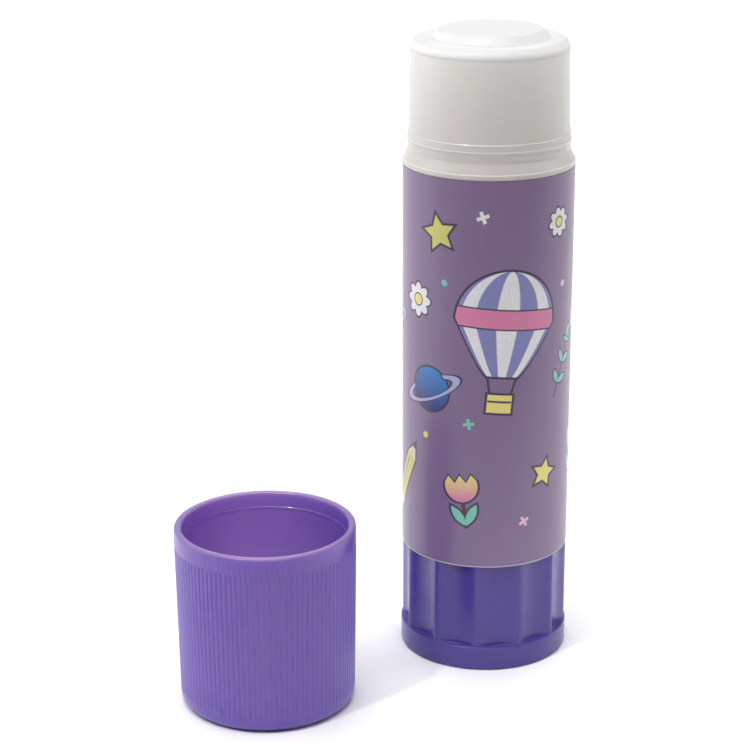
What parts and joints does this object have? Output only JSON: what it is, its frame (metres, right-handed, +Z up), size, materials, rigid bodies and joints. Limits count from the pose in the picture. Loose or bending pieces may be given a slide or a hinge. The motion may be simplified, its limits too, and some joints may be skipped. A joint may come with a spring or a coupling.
{
  "type": "glue stick",
  "caption": "Upright twist-up glue stick with a fluted turning base, label sleeve, white neck and stepped inner lid, beside its ribbed cup-shaped cap.",
  "frame": {"origin": "centre of the twist base's flat underside, where the stick stands", "axes": "+Z up along the stick's axis, towards the mouth; the cap stands towards -X and -Y"},
  "size_m": [0.0534, 0.042, 0.087],
  "materials": {
    "violet_plastic": "moulded, satin gloss",
    "cap_plastic": "moulded, satin gloss",
    "natural_plastic": "natural translucent white",
    "lid_plastic": "white, slightly translucent",
    "label_film": "printed film",
    "glue": "waxy solid adhesive"
  },
  "bodies": {
    "barrel": {"barrel": "natural_plastic", "label": "label_film"},
    "twist_base": {"twist_base": "violet_plastic", "lead_screw": "natural_plastic"},
    "carrier": {"carrier": "natural_plastic", "glue": "glue"},
    "inner_lid": {"inner_lid": "lid_plastic"},
    "cap": {"cap": "cap_plastic"}
  },
  "joints": [
    {"name": "base_turn", "type": "hinge", "parent": "barrel", "child": "twist_base", "pos_m": [0, 0, 0], "axis": [0, 0, 1], "range_deg": [0, 4590]},
    {"name": "glue_feed", "type": "slide", "parent": "barrel", "child": "carrier", "axis": [0, 0, 1], "range_m": [0, 0.051]},
    {"name": "lid_lift", "type": "slide", "parent": "carrier", "child": "inner_lid", "axis": [0, 0, 1], "range_m": [0, 0.02]},
    {"name": "cap_lift", "type": "slide", "parent": "barrel", "child": "cap", "axis": [0, 0, 1], "range_m": [0, 0.1]}
  ],
  "couplings": [
    {"joint": "glue_feed", "follows": "base_turn", "m_per_rad": 0.00063662}
  ]
}
